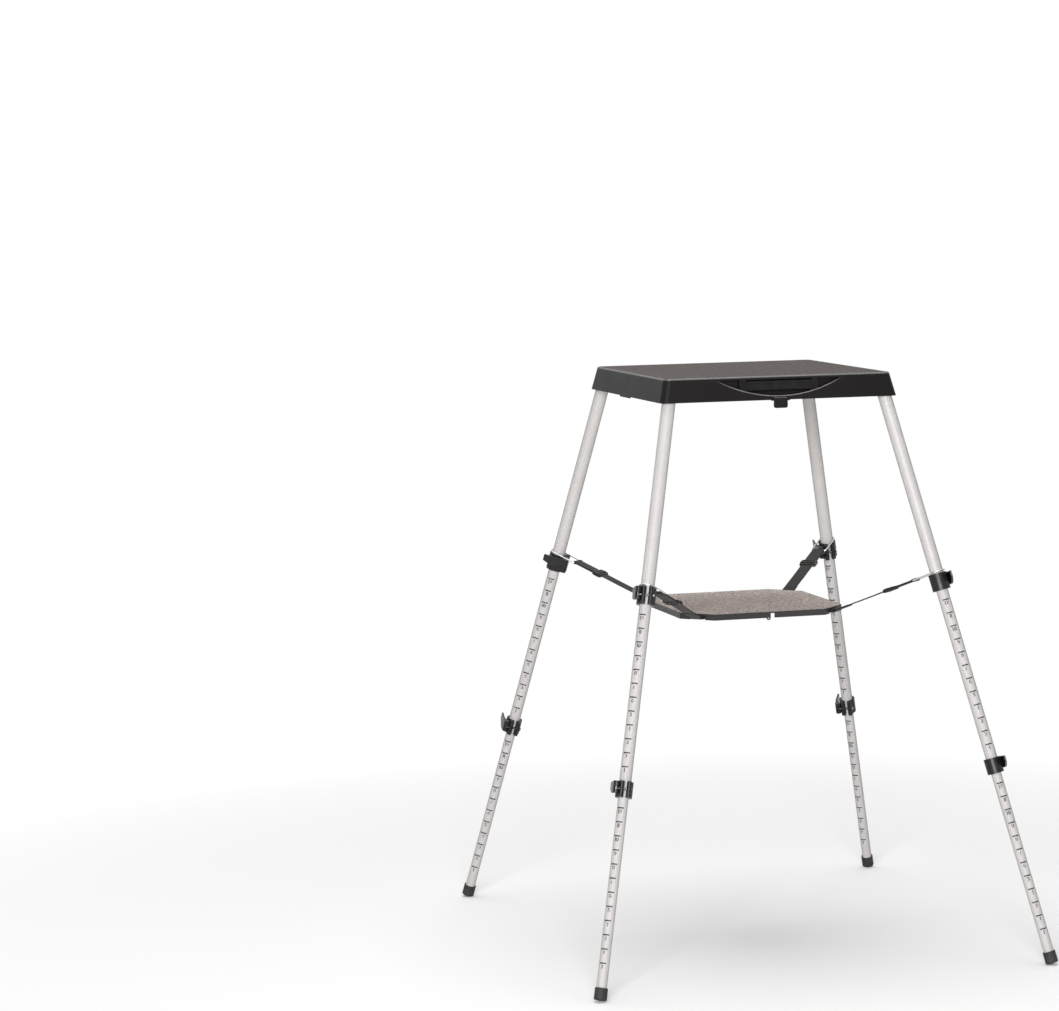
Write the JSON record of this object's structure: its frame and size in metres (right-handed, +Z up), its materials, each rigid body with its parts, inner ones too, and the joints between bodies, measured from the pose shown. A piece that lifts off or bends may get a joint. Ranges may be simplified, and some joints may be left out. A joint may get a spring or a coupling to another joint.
{
  "type": "projector stand",
  "caption": "Folding projector stand: a shallow black case as table top on four splayed telescoping legs with flip-lever clamps, and a smaller shelf hung below on webbing straps.",
  "frame": {"origin": "on the floor, under the middle of the four feet", "axes": "+Z up, +Y to the back, +X to the right seen from the front, where the handle is"},
  "size_m": [0.8944, 0.9652, 1.0901],
  "materials": {
    "black_plastic": "matte moulded black, granular on top",
    "black_lever": "semi-gloss moulded black",
    "grey_shelf": "granular grey-brown top, black rim",
    "plywood": "sanded plywood",
    "satin_tube": "satin anodised",
    "frosted_tube": "frosted anodised with inch marks",
    "bright_steel": "bright plated",
    "nylon": "natural nylon",
    "rubber": "matte black rubber",
    "webbing": "woven dark webbing"
  },
  "bodies": {
    "case": {"case_shell": "black_plastic", "stiffener_board": "plywood", "leg_sockets": "black_plastic", "case_screws": "bright_steel", "hinge_pins": "bright_steel", "strap_loops": "bright_steel", "shelf_straps": "webbing", "strap_buckles": "black_lever"},
    "handle": {"handle_grip": "black_plastic"},
    "latch": {"latch_tab": "black_lever"},
    "shelf": {"shelf_tray": "grey_shelf", "strap_anchors": "black_plastic"},
    "upper_fl": {"upper_tube_fl": "satin_tube", "upper_clamp_fl": "black_plastic", "upper_screw_fl": "bright_steel"},
    "mid_fl": {"mid_tube_fl": "frosted_tube", "mid_bush_fl": "nylon", "lower_clamp_fl": "black_plastic", "lower_screw_fl": "bright_steel"},
    "lower_fl": {"lower_tube_fl": "frosted_tube", "lower_bush_fl": "nylon", "foot_fl": "rubber"},
    "flip_upper_fl": {"upper_lever_fl": "black_lever"},
    "flip_lower_fl": {"lower_lever_fl": "black_lever"},
    "upper_fr": {"upper_tube_fr": "satin_tube", "upper_clamp_fr": "black_plastic", "upper_screw_fr": "bright_steel"},
    "mid_fr": {"mid_tube_fr": "frosted_tube", "mid_bush_fr": "nylon", "lower_clamp_fr": "black_plastic", "lower_screw_fr": "bright_steel"},
    "lower_fr": {"lower_tube_fr": "frosted_tube", "lower_bush_fr": "nylon", "foot_fr": "rubber"},
    "flip_upper_fr": {"upper_lever_fr": "black_lever"},
    "flip_lower_fr": {"lower_lever_fr": "black_lever"},
    "upper_bl": {"upper_tube_bl": "satin_tube", "upper_clamp_bl": "black_plastic", "upper_screw_bl": "bright_steel"},
    "mid_bl": {"mid_tube_bl": "frosted_tube", "mid_bush_bl": "nylon", "lower_clamp_bl": "black_plastic", "lower_screw_bl": "bright_steel"},
    "lower_bl": {"lower_tube_bl": "frosted_tube", "lower_bush_bl": "nylon", "foot_bl": "rubber"},
    "flip_upper_bl": {"upper_lever_bl": "black_lever"},
    "flip_lower_bl": {"lower_lever_bl": "black_lever"},
    "upper_br": {"upper_tube_br": "satin_tube", "upper_clamp_br": "black_plastic", "upper_screw_br": "bright_steel"},
    "mid_br": {"mid_tube_br": "frosted_tube", "mid_bush_br": "nylon", "lower_clamp_br": "black_plastic", "lower_screw_br": "bright_steel"},
    "lower_br": {"lower_tube_br": "frosted_tube", "lower_bush_br": "nylon", "foot_br": "rubber"},
    "flip_upper_br": {"upper_lever_br": "black_lever"},
    "flip_lower_br": {"lower_lever_br": "black_lever"}
  },
  "joints": [
    {"name": "leg_plug_fl", "type": "slide", "parent": "case", "child": "upper_fl", "axis": [-0.2041, -0.2364, -0.95], "range_m": [0, 0.045]},
    {"name": "mid_slide_fl", "type": "slide", "parent": "upper_fl", "child": "mid_fl", "axis": [0.2041, 0.2364, 0.95], "range_m": [0, 0.315]},
    {"name": "lower_slide_fl", "type": "slide", "parent": "mid_fl", "child": "lower_fl", "axis": [0.2041, 0.2364, 0.95], "range_m": [0, 0.335]},
    {"name": "upper_flip_fl", "type": "hinge", "parent": "upper_fl", "child": "flip_upper_fl", "pos_m": [-0.30668, -0.31133, 0.70801], "axis": [0.2041, 0.2364, 0.95], "range_deg": [0, 95]},
    {"name": "lower_flip_fl", "type": "hinge", "parent": "mid_fl", "child": "flip_lower_fl", "pos_m": [-0.37816, -0.39495, 0.36995], "axis": [0.2041, 0.2364, 0.95], "range_deg": [0, 95]},
    {"name": "leg_plug_fr", "type": "slide", "parent": "case", "child": "upper_fr", "axis": [0.2041, -0.2364, -0.95], "range_m": [0, 0.045]},
    {"name": "mid_slide_fr", "type": "slide", "parent": "upper_fr", "child": "mid_fr", "axis": [-0.2041, 0.2364, 0.95], "range_m": [0, 0.315]},
    {"name": "lower_slide_fr", "type": "slide", "parent": "mid_fr", "child": "lower_fr", "axis": [-0.2041, 0.2364, 0.95], "range_m": [0, 0.335]},
    {"name": "upper_flip_fr", "type": "hinge", "parent": "upper_fr", "child": "flip_upper_fr", "pos_m": [0.30784, -0.28446, 0.70157], "axis": [-0.2041, 0.2364, 0.95], "range_deg": [0, 95]},
    {"name": "lower_flip_fr", "type": "hinge", "parent": "mid_fr", "child": "flip_lower_fr", "pos_m": [0.37989, -0.37001, 0.36412], "axis": [-0.2041, 0.2364, 0.95], "range_deg": [0, 95]},
    {"name": "leg_plug_bl", "type": "slide", "parent": "case", "child": "upper_bl", "axis": [-0.2041, 0.2364, -0.95], "range_m": [0, 0.045]},
    {"name": "mid_slide_bl", "type": "slide", "parent": "upper_bl", "child": "mid_bl", "axis": [0.2041, -0.2364, 0.95], "range_m": [0, 0.315]},
    {"name": "lower_slide_bl", "type": "slide", "parent": "mid_bl", "child": "lower_bl", "axis": [0.2041, -0.2364, 0.95], "range_m": [0, 0.335]},
    {"name": "upper_flip_bl", "type": "hinge", "parent": "upper_bl", "child": "flip_upper_bl", "pos_m": [-0.27678, 0.27565, 0.6927], "axis": [0.2041, -0.2364, 0.95], "range_deg": [0, 95]},
    {"name": "lower_flip_bl", "type": "hinge", "parent": "mid_bl", "child": "flip_lower_bl", "pos_m": [-0.37789, 0.36699, 0.36294], "axis": [0.2041, -0.2364, 0.95], "range_deg": [0, 95]},
    {"name": "leg_plug_br", "type": "slide", "parent": "case", "child": "upper_br", "axis": [0.2041, 0.2364, -0.95], "range_m": [0, 0.045]},
    {"name": "mid_slide_br", "type": "slide", "parent": "upper_br", "child": "mid_br", "axis": [-0.2041, -0.2364, 0.95], "range_m": [0, 0.315]},
    {"name": "lower_slide_br", "type": "slide", "parent": "mid_br", "child": "lower_br", "axis": [-0.2041, -0.2364, 0.95], "range_m": [0, 0.335]},
    {"name": "upper_flip_br", "type": "hinge", "parent": "upper_br", "child": "flip_upper_br", "pos_m": [0.2678, 0.28234, 0.69244], "axis": [-0.2041, -0.2364, 0.95], "range_deg": [0, 95]},
    {"name": "lower_flip_br", "type": "hinge", "parent": "mid_br", "child": "flip_lower_br", "pos_m": [0.33616, 0.37605, 0.35623], "axis": [-0.2041, -0.2364, 0.95], "range_deg": [0, 95]},
    {"name": "handle_swing", "type": "hinge", "parent": "case", "child": "handle", "pos_m": [0, -0.2195, 1.07811], "axis": [-1, 0, 0], "range_deg": [0, 95]},
    {"name": "latch_swing", "type": "hinge", "parent": "case", "child": "latch", "pos_m": [0, -0.2292, 1.04689], "axis": [-1, 0, 0], "range_deg": [0, 75]},
    {"name": "shelf_lift", "type": "slide", "parent": "case", "child": "shelf", "axis": [0, 0, 1], "range_m": [0, 0.04], "deforming": ["shelf_straps", "strap_buckles"]}
  ]
}
